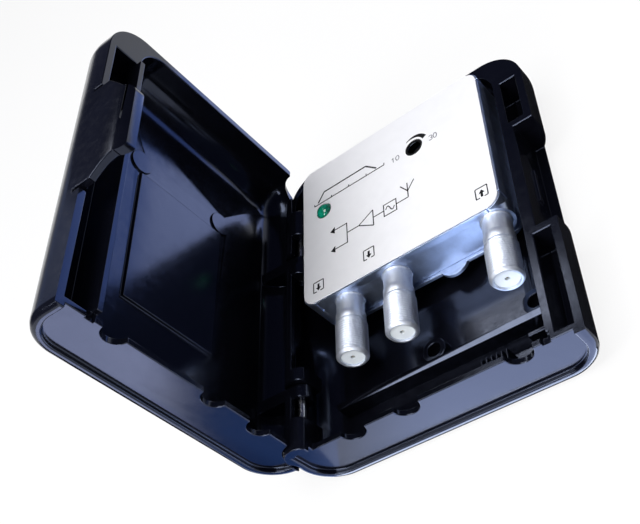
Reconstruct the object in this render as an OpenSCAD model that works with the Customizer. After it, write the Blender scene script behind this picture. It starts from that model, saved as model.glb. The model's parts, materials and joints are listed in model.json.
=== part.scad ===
// Mast-head aerial amplifier: a metal amplifier module in a hinged weather case.
// Millimetres, +Z up. The case lies on its back with the cable end towards -Y and
// the hinge on the -X side. The origin is the middle of the base tray's back face.

/* [Case] */
// Width of the case, hinge side to latch side
case_w = 90.6; // [90:0.2:100]
// Length of the case, cable end to far end
case_l = 110.4; // [110:0.2:120]
// Depth of the base tray, back to parting plane
base_depth = 16.4; // [16.4:0.2:19]
// Depth of the lid, parting plane to back
lid_depth = 16.8; // [16:0.2:22]
// Thickness of the shell walls and floors
wall = 2.4; // [2:0.1:2.8]
// Radius of the round edge along the back of both shells
edge_r = 11.6; // [9:0.2:11.6]
// Plan radius of the two corners at the far end
corner_r = 13; // [13:0.5:16]
// Thickness of the flat wall at the cable end
end_wall = 3.2; // [2.8:0.1:4]
// Width of the raised rim round the cable end
end_rim_w = 2.2; // [1.6:0.1:2.6]
// Height of the raised rim over the end wall
end_rim_h = 0.8; // [0.5:0.1:1.2]
// Width of the water channel along the latch side
channel_w = 5; // [4:0.1:6]
// Depth of the water channel below the rim
channel_depth = 9; // [6:0.5:10]
// Thickness of the rib between the channel and the inside
channel_rib = 2.4; // [1.6:0.1:3]
// Gap between the two rims with the lid shut
rim_gap = 0.3; // [0.2:0.05:0.6]
// Thickness of the lid's sealing tongue beside the channel rib
tongue_t = 1.7; // [1.5:0.1:1.9]
// Reach of the sealing tongue below the parting plane
tongue_reach = 1.5; // [0.5:0.1:3]

/* [Cable entries] */
// Radius of the half-round cable notches
notch_r = 3.8; // [3.4:0.1:4.2]
// Distance of the drain step from the latch side
drain_in = 10.2; // [10:0.1:12]
// Width of the drain step in both rims
drain_w = 2.4; // [1.5:0.1:3]
// Depth of the drain step in each rim
drain_d = 1; // [0.5:0.1:1.5]

/* [Tray inside] */
// Distance of the cross rib from the cable end
rib_y = 18; // [16:0.5:20]
// Thickness of the cross rib
rib_t = 1.4; // [1:0.1:2]
// Height of the cross rib's top over the back
rib_top = 8.5; // [6:0.5:8.5]
// Distance of the wall screw bosses from the cable end
boss_y = 24.2; // [23.6:0.2:26]
// Distance of the outer wall screw boss from the latch side
boss_from_latch = 15.4; // [15:0.1:18]
// Spacing of the two wall screw holes
boss_pitch = 32; // [28:0.5:35]
// Radius of the wall screw bosses
boss_r = 3.8; // [3.4:0.1:4.2]
// Height of the wall screw bosses over the floor
boss_h = 3; // [1.5:0.1:4]
// Radius of the wall screw holes
boss_hole_r = 2.1; // [1.8:0.05:2.3]
// Height of the grip ribs' tops over the back
grip_top = 9.5; // [7:0.5:11]
// Length of the grip ribs
grip_l = 5.5; // [4:0.5:6]
// Spacing of the grip ribs
grip_pitch = 1.5; // [1.3:0.1:1.6]
// Length of the tie bar beside the last cable
tie_l = 5.2; // [4:0.1:6]
// Height of the tie bar's top over the back
tie_top = 10.5; // [7:0.5:12]

/* [Hinge] */
// Distance of the hinge axis from the outer hinge side
hinge_inset = 5; // [4.6:0.1:5]
// Reach of the hinge lugs inside the hinge axis
lug_in = 3.6; // [3:0.1:3.6]
// Radius of the hinge pins
pin_r = 1.2; // [1:0.05:1.4]
// Radius of the lid's knuckles
knuckle_r = 3.2; // [2.8:0.1:3.4]
// Width of the lid's knuckles
knuckle_w = 4; // [3:0.1:5]
// Length of the long hinge lugs on the base
lug_long = 10.5; // [9:0.5:11]
// Length of the short hinge lugs on the base
lug_short = 4.4; // [3:0.1:5]
// Bare length of each pin beside its knuckle
pin_bare = 7.5; // [5:0.5:8.5]
// Depth of each pin in its long lug
pin_seat = 6; // [4:0.5:7]
// Thickness of the rolled lip between the lugs
roll_t = 2; // [1.5:0.1:2.4]
// Distance of the far hinge lug from the start of the far corner
far_lug_gap = 7; // [4:0.5:9]
// Angle of the open lid from shut, at its stop
lid_angle = 88.6; // [80:0.2:90]
// Height of the lid's hinge side over the parting plane
stop_h = 5.2; // [5.2:0.1:7]

/* [Latch] */
// Offset of the latch from the middle, towards the far end
latch_y = 2; // [0:0.5:3]
// Width of the latch tab at its root
tab_root_w = 38.4; // [32:0.2:40]
// Width of the latch tab at its tip
tab_tip_w = 26; // [18:0.2:28]
// Drop of the latch tab below the parting plane
tab_drop = 12; // [10:0.5:12]
// Thickness of the latch tab
tab_t = 2.2; // [1.6:0.1:2.4]
// Radius of the latch tab's tip corners
tab_tip_r = 3; // [2:0.1:4]
// Length of the slits beside the tab
slit_h = 3; // [2:0.5:6]
// Width of the slits beside the tab
slit_w = 1.2; // [0.8:0.1:1.6]
// Depth of the tab's recess in the base
recess_d = 6.2; // [6.2:0.1:7]
// Width of the catch ridge in the recess
catch_w = 12; // [8:0.5:16]
// Height of the catch ridge over the recess
catch_h = 0.7; // [0.4:0.1:0.7]

/* [Lid inside] */
// Width of the raised panel on the lid's back
panel_w = 34; // [28:0.2:38]
// Length of the raised panel on the lid's back
panel_l = 47.2; // [40:0.1:52]
// Height of the raised panel
panel_h = 1; // [0.4:0.1:1.5]
// Distance of the raised panel from the hinge axis
panel_from_hinge = 23.4; // [20:0.2:26]
// Distance of the raised panel from the cable end
panel_from_end = 27.9; // [24:0.1:32]
// Radius of the round pads by the panel
pad_r = 4; // [3:0.1:4.5]
// Gap between the round pads and the panel
pad_gap = 0.8; // [0.5:0.1:2]
// Height of the round pads
pad_h = 0.6; // [0.3:0.1:1]

/* [Module] */
// Length of the amplifier module
module_l = 57.7; // [56:0.1:58.5]
// Height of the module's housing
module_h = 12.3; // [12:0.05:14]
// Corner radius of the module
module_r = 4.5; // [3.5:0.1:5]
// Thickness of the housing's walls
module_wall = 1.6; // [1.2:0.1:1.8]
// Distance of the module from the hinge side
module_from_hinge = 9.1; // [9.1:0.1:11]
// Distance of the module from the latch side
module_from_latch = 12.5; // [12.3:0.1:15]
// Distance of the module from the far end
module_from_far = 5.3; // [5.3:0.1:8]
// Thickness of the module's back plate
plate_t = 1.2; // [0.8:0.1:1.6]
// Overhang of the back plate round the housing
plate_lip = 1; // [0.6:0.1:1.4]
// Corner radius of the back plate
plate_r = 8.2; // [8:0.1:9]
// Radius of the back plate's half-round ear
ear_r = 5; // [4:0.1:6]
// Distance of the ear from the module's hinge side
ear_x = 45.5; // [42:0.1:50]
// Reach of the ear past the plate's edge
ear_reach = 2.6; // [1.5:0.1:3.5]
// Height of the module's posts over the tray floor
post_h = 4.25; // [4.2:0.05:5]
// Radius of the module's posts
post_r = 4; // [3.8:0.1:4.5]
// Thickness of the front label plate
label_t = 0.4; // [0.3:0.05:0.6]
// Margin of the label inside the housing's top
label_margin = 0.5; // [0.3:0.1:1]
// Length of the slits at the housing's corners
corner_slit_h = 4; // [3:0.1:5]
// Width of the slits at the housing's corners
corner_slit_w = 0.5; // [0.3:0.1:0.8]

/* [Ports] */
// Distance of the first output from the module's hinge side
port_1 = 13; // [12:0.1:14]
// Distance of the second output from the module's hinge side
port_2 = 30.3; // [29:0.1:31]
// Distance of the aerial input from the module's latch side
port_3 = 5.2; // [5:0.1:6]
// Height of the port axes over the housing's lower edge
port_h = 6.45; // [6.2:0.05:6.6]
// Reach of the ports from the module
port_reach = 21; // [16:0.1:21.5]
// Length of the smooth shank outside the module
shank_l = 8.5; // [6:0.1:9]
// Radius of the smooth shank
shank_r = 4.5; // [4.3:0.05:4.6]
// Outer radius of the screw thread
thread_r = 4.7625; // [4.7:0.0125:4.8]
// Length of the relief groove behind the thread
groove_l = 0.8; // [0.5:0.1:1.2]
// Depth of the relief groove
groove_d = 0.4; // [0.2:0.05:0.5]
// Chamfer at the tip of the thread
tip_chamfer = 0.7; // [0.4:0.1:0.9]
// Radius of the insulator
insulator_r = 3.4; // [3.2:0.05:3.5]
// Depth of the insulator's face behind the tip
face_depth = 0.6; // [0.3:0.1:1]
// Radius of the housing's collar round each port
collar_r = 5.5; // [5.3:0.05:5.6]
// Length of the collar inside the module
collar_l = 9; // [8:0.5:10]
// Length of the shank held in the collar
shank_seat = 6; // [5:0.5:7]
// Radius of the contact's socket end
socket_r = 1.1; // [0.9:0.05:1.2]
// Radius of the contact's tail
tail_r = 0.5; // [0.4:0.05:0.6]
// Length of the contact's tail over the board
tail_l = 4; // [3:0.5:5]

/* [Lamp and gain control] */
// Distance of the lamp from the module's hinge side
lamp_x = 9; // [8:0.1:12]
// Distance of the lamp from the module's far end
lamp_y = 21.8; // [18:0.1:22]
// Radius of the lamp
lamp_r = 2.5; // [2:0.05:2.6]
// Reach of the lamp over the label
lamp_reach = 1.2; // [0.8:0.1:1.8]
// Distance of the gain control from the module's hinge side
gain_x = 44.5; // [42:0.1:45]
// Distance of the gain control from the module's far end
gain_y = 17.8; // [15:0.1:18.5]
// Radius of the gain control's hole
gain_hole_r = 2.4; // [2.2:0.05:2.6]
// Radius of the gain control's rotor
rotor_r = 2.2; // [1.8:0.05:2.2]
// Height of the gain control's rotor
rotor_h = 2.6; // [2:0.1:2.8]
// Width of the screwdriver slot
slot_w = 0.7; // [0.5:0.05:0.9]
// Depth of the screwdriver slot
slot_d = 0.9; // [0.5:0.1:1.2]

/* [Circuit board] */
// Thickness of the circuit board
board_t = 1.2; // [0.8:0.1:1.6]
// Gap between the board and the housing
board_gap = 0.5; // [0.3:0.1:0.8]
// Height of the tallest parts on the board
part_h = 4; // [3:0.1:4]
// Width of the chip parts on the board
chip_w = 1.2; // [0.8:0.1:1.4]
// Length of the chip parts on the board
chip_l = 2; // [1.4:0.1:2.2]

/* [Fasteners] */
// Shank radius of the module screws
screw_r = 1.3; // [1.1:0.05:1.4]
// Head radius of the module screws
head_r = 2.5; // [2.2:0.05:2.8]
// Head height of the module screws
head_h = 1.8; // [1.4:0.1:2]
// Length of the screws in the housing
screw_bite = 6; // [4:0.5:7]
// Distance of the far screws from the module's edges
screw_in = 6.5; // [6:0.1:7]
// Distance of the near screw from the module's near face
screw_near = 13; // [12.5:0.1:14]

/* [Fits] */
// Radial clearance of pins, screws and plugs in their holes
fit_gap = 0.05; // [0.02:0.01:0.1]
// Clearance between the lid and the base as they move
seat_gap = 0.4; // [0.3:0.05:0.5]

/* [Hidden] */
$fn = 64;
eps = 0.01;
half_w = case_w / 2;
half_l = case_l / 2;
near_y = -half_l;
far_y = half_l;
part_z = base_depth;
lid_top = part_z + lid_depth;

// Hinge line and the places of its pieces along it
hinge_x = -half_w + hinge_inset;
lug_r = hinge_inset;
lug_foot = base_depth - edge_r;
slot_gap = knuckle_w + 2 * seat_gap;
pin_l = pin_seat + pin_bare + slot_gap + lug_short - 1;
far_lug_y = far_y - corner_r - far_lug_gap;
// Each hinge station starts at its long lug and runs towards the middle
stations = [[near_y, 1], [far_lug_y, -1]];

// Inside of the shells
channel_x = half_w - wall - channel_w;
shelf = wall + channel_w + channel_rib;
inside_x0 = -half_w + wall;
inside_x1 = half_w - shelf;
inside_y0 = near_y + end_wall;
inside_y1 = far_y - wall;
recess_gap = 0.6;
recess_w = tab_root_w + 2 * recess_gap;
recess_x = half_w - recess_d;
recess_z = part_z - tab_drop - recess_gap;
tongue_x = inside_x1 - seat_gap - tongue_t;
// Far corners inside the lid, tight enough to clear the module's corner when it shuts
lid_inside_r = edge_r - wall + 0.1;

// Module box
mod_x0 = -half_w + module_from_hinge;
mod_x1 = half_w - module_from_latch;
module_w = mod_x1 - mod_x0;
mod_y1 = far_y - module_from_far;
mod_y0 = mod_y1 - module_l;
mod_mid = [(mod_x0 + mod_x1) / 2, (mod_y0 + mod_y1) / 2];
plate_z = wall + post_h;
house_z = plate_z + plate_t;
house_top = house_z + module_h;
ceiling_z = house_top - module_wall;
label_z = house_top + label_t;
screw_points = [
    [mod_x0 + screw_in, mod_y1 - screw_in],
    [mod_x1 - screw_in, mod_y1 - screw_in],
    [(mod_x0 + port_2 + mod_x1 - port_3) / 2, mod_y0 + screw_near]
];
column_r = screw_r + 1.3;
shoulder_r = column_r + 1;

// Ports
port_x = [mod_x0 + port_1, mod_x0 + port_2, mod_x1 - port_3];
port_z = house_z + port_h;
port_tip_y = mod_y0 - port_reach;
shank_end_y = mod_y0 + shank_seat;
insulator_end_y = mod_y0 + collar_l;
socket_in = 1;
socket_l = 7;

// Wall screw bosses, grip ribs and tie bar
boss_mid_x = half_w - boss_from_latch - boss_pitch / 2;
boss_cy = near_y + boss_y;
grip_count = 6;
grip_t = 0.7;
grip_from_end = 1.8;
grip_from_notch = 2;
tie_t = 1.2;
tie_from_end = 10.5;
tie_gap = 2;
drain_x = half_w - drain_in;

// Circuit board
board_top = port_z - tail_r;
board_z = board_top - board_t;
board_x0 = mod_x0 + module_wall + board_gap;
board_x1 = mod_x1 - module_wall - board_gap;
board_y0 = insulator_end_y + board_gap;
board_y1 = mod_y1 - module_wall - board_gap;
board_w = board_x1 - board_x0;
board_l = board_y1 - board_y0;
lamp_c = [mod_x0 + lamp_x, mod_y1 - lamp_y];
gain_c = [mod_x0 + gain_x, mod_y1 - gain_y];
rotor_z = board_top + 1.4;
trimmer_w = 6.6;
shield_gap = 3.2;
stage_x = gain_c[0] - trimmer_w / 2 - shield_gap;
trimmer_h = 3.6;

// Quarter of a disc in the first quadrant
module quarter_disc(r) {
    intersection() {
        circle(r);
        square(r);
    }
}

// Side of a tray in section, from its middle to a wall with a round foot
module tray_side(w, h, r) {
    square([w - r, h]);
    translate([w - r, r]) square([r, h - r]);
    translate([w - r, r]) mirror([0, 1]) quarter_disc(r);
}

// Whole section of a tray between x0 and x1, open upwards
module tray_section(x0, x1, h, r) {
    half = (x1 - x0) / 2;
    translate([(x0 + x1) / 2, 0]) {
        tray_side(half, h, r);
        mirror([1, 0]) tray_side(half, h, r);
    }
}

// Solid tray: round foot along both sides and the far end, round far corners, flat near end
module tray_form(x0, x1, y0, y1, z0, h, r, rc) {
    mid = (x0 + x1) / 2;
    half = (x1 - x0) / 2;
    yc = y1 - rc;
    translate([0, yc, z0])
        rotate([90, 0, 0])
            linear_extrude(yc - y0)
                tray_section(x0, x1, h, r);
    translate([mid - half + rc, yc, z0])
        rotate([90, 0, 90])
            linear_extrude(2 * (half - rc))
                tray_side(rc, h, r);
    translate([mid, yc, z0])
        for (side = [0, 1])
            mirror([side, 0, 0])
                translate([half - rc, 0, 0])
                    rotate_extrude(angle = 90)
                        tray_side(rc, h, r);
}

// Outline with four round corners, centred
module round_plate(w, l, r) {
    square([w - 2 * r, l], center = true);
    square([w, l - 2 * r], center = true);
    for (x = [-1, 1], y = [-1, 1])
        translate([x * (w / 2 - r), y * (l / 2 - r)]) circle(r);
}

// Extrusion of an XZ outline along Y, from y0 to y1
module along_y(y0, y1) {
    translate([0, y1, 0])
        rotate([90, 0, 0])
            linear_extrude(y1 - y0)
                children();
}

// The same about the hinge line
module along_hinge(y0, y1) {
    translate([hinge_x, 0, part_z]) along_y(min(y0, y1), max(y0, y1)) children();
}

// Cable notches and drain step, cut through both end walls
module cable_cuts() {
    for (x = port_x)
        translate([x, near_y + end_wall + 1, part_z])
            rotate([90, 0, 0])
                cylinder(r = notch_r, h = end_wall + 2);
    translate([drain_x - drain_w / 2, near_y - 1, part_z - drain_d])
        cube([drain_w, end_wall + 2, 2 * drain_d]);
}

// Sunk face of a shell's cable end, inside its raised rim
module end_face_cut(depth) {
    along_y(near_y - 1, near_y + end_rim_h)
        translate([0, end_rim_w])
            tray_section(-half_w + end_rim_w, half_w - end_rim_w, depth, edge_r - end_rim_w);
}

// Section of a hinge lug about its axis: round top on a straight foot, flat on the inside
module lug_outline() {
    intersection() {
        union() {
            circle(lug_r);
            translate([-lug_r, -lug_foot]) square([2 * lug_r, lug_foot]);
        }
        translate([-lug_r, -lug_foot]) square([lug_r + lug_in, lug_foot + lug_r]);
    }
}

// Section of the rolled lip: the outer upper quarter of a tube
module roll_outline() {
    difference() {
        mirror([1, 0]) quarter_disc(lug_r);
        circle(lug_r - roll_t);
    }
}

// Hinge lugs and rolled lip on the base's hinge side
module hinge_lugs() {
    for (s = stations) {
        bare_y = s[0] + s[1] * lug_long;
        short_y = bare_y + s[1] * (pin_bare + slot_gap);
        along_hinge(s[0], bare_y) lug_outline();
        along_hinge(bare_y, bare_y + s[1] * pin_bare) roll_outline();
        along_hinge(short_y, short_y + s[1] * lug_short) lug_outline();
    }
    reach = lug_long + pin_bare + slot_gap + lug_short;
    along_hinge(near_y + reach, far_lug_y - reach) roll_outline();
    along_hinge(far_lug_y, far_lug_y + far_lug_gap) roll_outline();
}

// Slots for the lid's knuckles and bores for the pins
module hinge_cuts() {
    slot_low = part_z - knuckle_r - seat_gap;
    for (s = stations) {
        slot_y = s[0] + s[1] * (lug_long + pin_bare);
        pin_y = s[0] + s[1] * (lug_long - pin_seat);
        translate([-half_w - 1, min(slot_y, slot_y + s[1] * slot_gap), slot_low])
            cube([hinge_inset + lug_r + 2, slot_gap, part_z + lug_r - slot_low + 1]);
        along_hinge(pin_y, pin_y + s[1] * (pin_l + 2)) circle(pin_r + fit_gap);
    }
}

// Recess for the latch tab, with its catch ridge left standing
module latch_recess() {
    difference() {
        translate([recess_x, latch_y - recess_w / 2, recess_z])
            cube([recess_d + 1, recess_w, part_z - recess_z + 1]);
        translate([recess_x - 1, latch_y - catch_w / 2, part_z - tab_drop / 2 - 2])
            cube([catch_h + 1, catch_w, 2]);
    }
}

// Water channel along the latch side, between two places on Y
module channel_cut(x0, y0, y1, z0) {
    translate([x0, y0, z0]) cube([half_w - wall - x0, y1 - y0, channel_depth + 1]);
}

// Posts, bosses and ribs that stand on the tray's floor
module floor_features() {
    for (p = screw_points)
        translate([p[0], p[1], wall - eps]) cylinder(r = post_r, h = post_h + eps);
    for (side = [-1, 1])
        translate([boss_mid_x + side * boss_pitch / 2, boss_cy, wall - eps])
            cylinder(r = boss_r, h = boss_h + eps);
    rib_x0 = hinge_x + lug_r + 1;
    translate([rib_x0, near_y + rib_y - rib_t / 2, wall - eps])
        cube([inside_x1 - rib_x0 + eps, rib_t, rib_top - wall + eps]);
    grip_x = port_x[2] - notch_r - grip_from_notch - grip_t;
    for (i = [0 : grip_count - 1])
        translate([grip_x - i * grip_pitch, inside_y0 + grip_from_end, wall - eps])
            cube([grip_t, grip_l, grip_top - wall + eps]);
    translate([inside_x1 - tie_l - tie_gap, near_y + tie_from_end - tie_t / 2, wall - eps])
        cube([tie_l, tie_t, tie_top - wall + eps]);
}

// Base tray with its hinge lugs, latch recess, cable notches and floor fittings
module base_tray() {
    color("#1a1b20")
    difference() {
        union() {
            difference() {
                tray_form(-half_w, half_w, near_y, far_y, 0, base_depth, edge_r, corner_r);
                tray_form(inside_x0, inside_x1, inside_y0, inside_y1, wall, base_depth,
                    edge_r - wall, corner_r - wall);
                latch_recess();
                channel_cut(channel_x, inside_y0, latch_y - recess_w / 2 - wall, part_z - channel_depth);
                channel_cut(channel_x, latch_y + recess_w / 2 + wall, far_y - corner_r, part_z - channel_depth);
            }
            hinge_lugs();
            intersection() {
                floor_features();
                tray_form(-half_w, half_w, near_y, far_y, 0, base_depth, edge_r, corner_r);
            }
        }
        hinge_cuts();
        cable_cuts();
        end_face_cut(base_depth);
        along_hinge(near_y - 1, near_y + end_rim_h) circle(lug_r - end_rim_w);
        for (side = [-1, 1])
            translate([boss_mid_x + side * boss_pitch / 2, boss_cy, -1])
                cylinder(r = boss_hole_r, h = wall + boss_h + 2);
        for (p = screw_points)
            translate([p[0], p[1], -1]) {
                cylinder(r = screw_r + fit_gap, h = plate_z + 2);
                cylinder(r = head_r + fit_gap, h = head_h + 1 + fit_gap);
            }
    }
}

// Turns what is drawn for the shut lid to its open place
module lid_open() {
    translate([hinge_x, 0, part_z])
        rotate([0, -lid_angle, 0])
            translate([-hinge_x, 0, -part_z])
                children();
}

// Draws a tray upside down, with its back at the lid's back
module lid_frame() {
    translate([0, 0, lid_top]) mirror([0, 0, 1]) children();
}

// Latch tab: the shell's own section continued over the base, cut to a tapered outline
module latch_tab() {
    tip_z = part_z - tab_drop;
    root_z = part_z + rim_gap;
    intersection() {
        along_y(latch_y - tab_root_w / 2, latch_y + tab_root_w / 2)
            difference() {
                tray_section(-half_w, half_w, root_z + 1, edge_r);
                translate([0, tab_t]) tray_section(-half_w - 5, half_w - tab_t, root_z + 2, edge_r - tab_t);
                translate([-half_w - 1, -1]) square([case_w / 2 + 1, root_z + 3]);
                square([half_w - edge_r, edge_r]);
            }
        translate([0, latch_y, 0])
            rotate([90, 0, 90])
                linear_extrude(case_w)
                    tab_outline(tip_z, root_z + 1);
    }
}

// Outline of the latch tab from its round-cornered tip to its root
module tab_outline(tip_z, root_z) {
    lean_z = tip_z + tab_tip_r;
    polygon([
        [-tab_root_w / 2, root_z],
        [tab_root_w / 2, root_z],
        [tab_root_w / 2, part_z - tab_tip_r],
        [tab_tip_w / 2, lean_z],
        [-tab_tip_w / 2, lean_z],
        [-tab_root_w / 2, part_z - tab_tip_r]
    ]);
    for (side = [-1, 1])
        translate([side * (tab_tip_w / 2 - tab_tip_r), lean_z]) circle(tab_tip_r);
    translate([-tab_tip_w / 2 + tab_tip_r, tip_z]) square([tab_tip_w - 2 * tab_tip_r, tab_tip_r + eps]);
}

// Knuckles that turn on the pins, as ribs on the lid's back
module lid_knuckles() {
    for (s = stations) {
        slot_y = s[0] + s[1] * (lug_long + pin_bare);
        y0 = slot_y + s[1] * seat_gap;
        along_hinge(y0, y0 + s[1] * knuckle_w) {
            circle(knuckle_r);
            translate([-knuckle_r, 0]) square([2 * knuckle_r, lid_depth - wall + eps]);
        }
    }
}

// Lid as it sits when shut
module lid_shut() {
    difference() {
        union() {
            difference() {
                lid_frame() {
                    difference() {
                        tray_form(-half_w, half_w, near_y, far_y, 0, lid_depth - rim_gap, edge_r, corner_r);
                        tray_form(inside_x0, tongue_x, inside_y0, inside_y1, wall, lid_depth,
                            edge_r - wall, lid_inside_r);
                        channel_cut(tongue_x + tongue_t, inside_y0, far_y - corner_r,
                            lid_depth - channel_depth);
                        end_face_cut(lid_depth);
                    }
                    lid_panel();
                    lid_tongue();
                }
                along_hinge(near_y - 1, far_y + 1) circle(lug_r + seat_gap);
                translate([-half_w - 1, near_y - 1, part_z - 1])
                    cube([hinge_inset + 1, case_l + 2, stop_h + 1]);
                for (side = [-1, 1])
                    translate([half_w, latch_y + side * (tab_root_w + slit_w) / 2, part_z])
                        cube([2 * wall + 2, slit_w, 2 * slit_h], center = true);
            }
            lid_knuckles();
            latch_tab();
        }
        cable_cuts();
        for (s = stations) {
            slot_y = s[0] + s[1] * (lug_long + pin_bare);
            along_hinge(slot_y - s[1], slot_y + s[1] * (slot_gap + 1)) circle(pin_r + fit_gap);
        }
    }
}

// Raised panel on the lid's back, with two round pads beyond its far corners
module lid_panel() {
    translate([hinge_x + panel_from_hinge, near_y + panel_from_end, wall - eps]) {
        cube([panel_w, panel_l, panel_h + eps]);
        for (x = [0, panel_w])
            translate([x, panel_l + pad_gap + pad_r, 0]) cylinder(r = pad_r, h = pad_h + eps);
    }
}

// Sealing tongue that drops just inside the base's channel rib
module lid_tongue() {
    y0 = inside_y0 + seat_gap;
    translate([tongue_x, y0, lid_depth - channel_depth])
        cube([tongue_t, far_y - corner_r - y0, channel_depth + tongue_reach]);
}

// Lid, open at its stop
module lid() {
    color("#1a1b20") lid_open() lid_shut();
}

// Hinge pin of one station
module hinge_pin(s) {
    pin_y = s[0] + s[1] * (lug_long - pin_seat);
    color("#b9bcc2") along_hinge(pin_y, pin_y + s[1] * pin_l) circle(pin_r);
}

module hinge_pin_near() {
    hinge_pin(stations[0]);
}

module hinge_pin_far() {
    hinge_pin(stations[1]);
}

// Cross-headed screws that come up through the tray's posts
module module_screws() {
    top_z = house_z + screw_bite;
    color("#9a9ca0")
    for (p = screw_points)
        translate([p[0], p[1], 0])
            difference() {
                union() {
                    translate([0, 0, fit_gap]) cylinder(r = head_r, h = head_h);
                    translate([0, 0, fit_gap]) cylinder(r = screw_r, h = top_z - fit_gap);
                }
                for (turn = [0, 90])
                    rotate([0, 0, turn])
                        cube([2 * screw_r, 0.6, 2], center = true);
            }
}

// Cast housing: open below, with three columns and a collar round each port
module amp_housing() {
    inner_w = module_w - 2 * module_wall;
    inner_l = module_l - 2 * module_wall;
    color("#b4bac8")
    difference() {
        union() {
            translate([mod_mid[0], mod_mid[1], house_z])
                difference() {
                    linear_extrude(module_h) round_plate(module_w, module_l, module_r);
                    translate([0, 0, -1])
                        linear_extrude(module_h - module_wall + 1)
                            round_plate(inner_w, inner_l, module_r - module_wall);
                }
            for (p = screw_points) {
                translate([p[0], p[1], house_z]) cylinder(r = column_r, h = ceiling_z - house_z + eps);
                translate([p[0], p[1], board_top + fit_gap])
                    cylinder(r = shoulder_r, h = ceiling_z - board_top - fit_gap + eps);
            }
            for (x = port_x)
                translate([x, mod_y0 + collar_l, port_z])
                    rotate([90, 0, 0])
                        cylinder(r = collar_r, h = collar_l);
        }
        for (p = screw_points)
            translate([p[0], p[1], house_z - 1])
                cylinder(r = screw_r + fit_gap, h = screw_bite + 1 + fit_gap);
        for (x = port_x)
            translate([x, 0, port_z]) {
                along_y(mod_y0 - 1, shank_end_y) circle(shank_r + fit_gap);
                along_y(mod_y0, mod_y0 + collar_l + 1) circle(insulator_r + fit_gap);
            }
        translate([lamp_c[0], lamp_c[1], ceiling_z - 1])
            cylinder(r = lamp_r + 2 * fit_gap, h = module_wall + 2);
        translate([gain_c[0], gain_c[1], ceiling_z - 1])
            cylinder(r = gain_hole_r, h = module_wall + 2);
        corner_slits();
    }
}

// Short slits down the housing's corners, where each corner's rounding starts
module corner_slits() {
    depth = module_wall / 3;
    for (x = [-1, 1], y = [-1, 1]) {
        translate([mod_mid[0] + x * (module_w / 2 - module_r) - corner_slit_w / 2,
                mod_mid[1] + y * (module_l / 2 - depth / 2 + 0.5) - depth / 2 - 0.5,
                house_top - corner_slit_h])
            cube([corner_slit_w, depth + 1, corner_slit_h + 1]);
        translate([mod_mid[0] + x * (module_w / 2 - depth / 2 + 0.5) - depth / 2 - 0.5,
                mod_mid[1] + y * (module_l / 2 - module_r) - corner_slit_w / 2,
                house_top - corner_slit_h])
            cube([depth + 1, corner_slit_w, corner_slit_h + 1]);
    }
}

// Flat plate that closes the housing's back, with a half-round ear towards the cables
module back_plate() {
    color("#aab0bf")
    translate([0, 0, plate_z])
        linear_extrude(plate_t)
            difference() {
                union() {
                    translate(mod_mid)
                        round_plate(module_w + 2 * plate_lip, module_l + 2 * plate_lip, plate_r);
                    translate([mod_x0 + ear_x, mod_y0 - plate_lip - ear_reach + ear_r]) circle(ear_r);
                }
                for (p = screw_points)
                    translate(p) circle(screw_r + fit_gap);
            }
}

// White front plate over the housing's top
module front_label() {
    color("#f4f4f6")
    translate([mod_mid[0], mod_mid[1], house_top])
        linear_extrude(label_t)
            difference() {
                round_plate(module_w - 2 * label_margin, module_l - 2 * label_margin,
                    module_r - label_margin);
                translate(lamp_c - mod_mid) circle(lamp_r + 2 * fit_gap);
                translate(gain_c - mod_mid) circle(gain_hole_r);
            }
}

// Circuit board, held against the shoulders of the housing's columns
module circuit_board() {
    color("#2f6b45")
    translate([0, 0, board_z])
        linear_extrude(board_t)
            difference() {
                translate([board_x0 + board_w / 2, board_y0 + board_l / 2])
                    round_plate(board_w, board_l, module_r - module_wall);
                for (p = screw_points)
                    translate(p) circle(column_r + fit_gap);
            }
}

// Body of a port: shank, relief groove, threaded barrel with a chamfered tip
module port_body(x) {
    thread_y = mod_y0 - shank_l - groove_l;
    color("#dfe3ea")
    translate([x, 0, port_z])
        difference() {
            union() {
                along_y(mod_y0 - shank_l, shank_end_y) circle(shank_r);
                along_y(thread_y - eps, mod_y0 - shank_l + eps) circle(shank_r - groove_d);
                along_y(port_tip_y + tip_chamfer, thread_y) circle(thread_r);
                translate([0, port_tip_y + tip_chamfer, 0])
                    rotate([90, 0, 0])
                        cylinder(r1 = thread_r, r2 = thread_r - tip_chamfer, h = tip_chamfer);
            }
            along_y(port_tip_y - 1, shank_end_y + 1) circle(insulator_r + fit_gap);
        }
}

// Insulator of a port, with a stepped hole for the contact
module port_insulator(x) {
    face_y = port_tip_y + face_depth;
    color("#eef1f4")
    translate([x, 0, port_z])
        difference() {
            along_y(face_y, insulator_end_y) circle(insulator_r);
            along_y(face_y - 1, face_y + socket_in) circle(tail_r + 0.2);
            along_y(face_y + socket_in - eps, face_y + socket_in + socket_l) circle(socket_r + fit_gap);
            along_y(face_y + socket_in + socket_l - eps, insulator_end_y + 1) circle(tail_r + fit_gap);
        }
}

// Spring contact of a port: socket in front, tail over the board
module port_contact(x) {
    front_y = port_tip_y + face_depth + socket_in + fit_gap;
    color("#c9a24a")
    translate([x, 0, port_z])
        difference() {
            union() {
                along_y(front_y, front_y + socket_l - 2 * fit_gap) circle(socket_r);
                along_y(front_y + socket_l - 1, board_y0 + tail_l) circle(tail_r);
            }
            along_y(front_y - 1, front_y + socket_l - 2) circle(tail_r);
        }
}

module supply_output_body() {
    port_body(port_x[0]);
}

module second_output_body() {
    port_body(port_x[1]);
}

module aerial_input_body() {
    port_body(port_x[2]);
}

module supply_output_insulator() {
    port_insulator(port_x[0]);
}

module second_output_insulator() {
    port_insulator(port_x[1]);
}

module aerial_input_insulator() {
    port_insulator(port_x[2]);
}

module supply_output_contact() {
    port_contact(port_x[0]);
}

module second_output_contact() {
    port_contact(port_x[1]);
}

module aerial_input_contact() {
    port_contact(port_x[2]);
}

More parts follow.
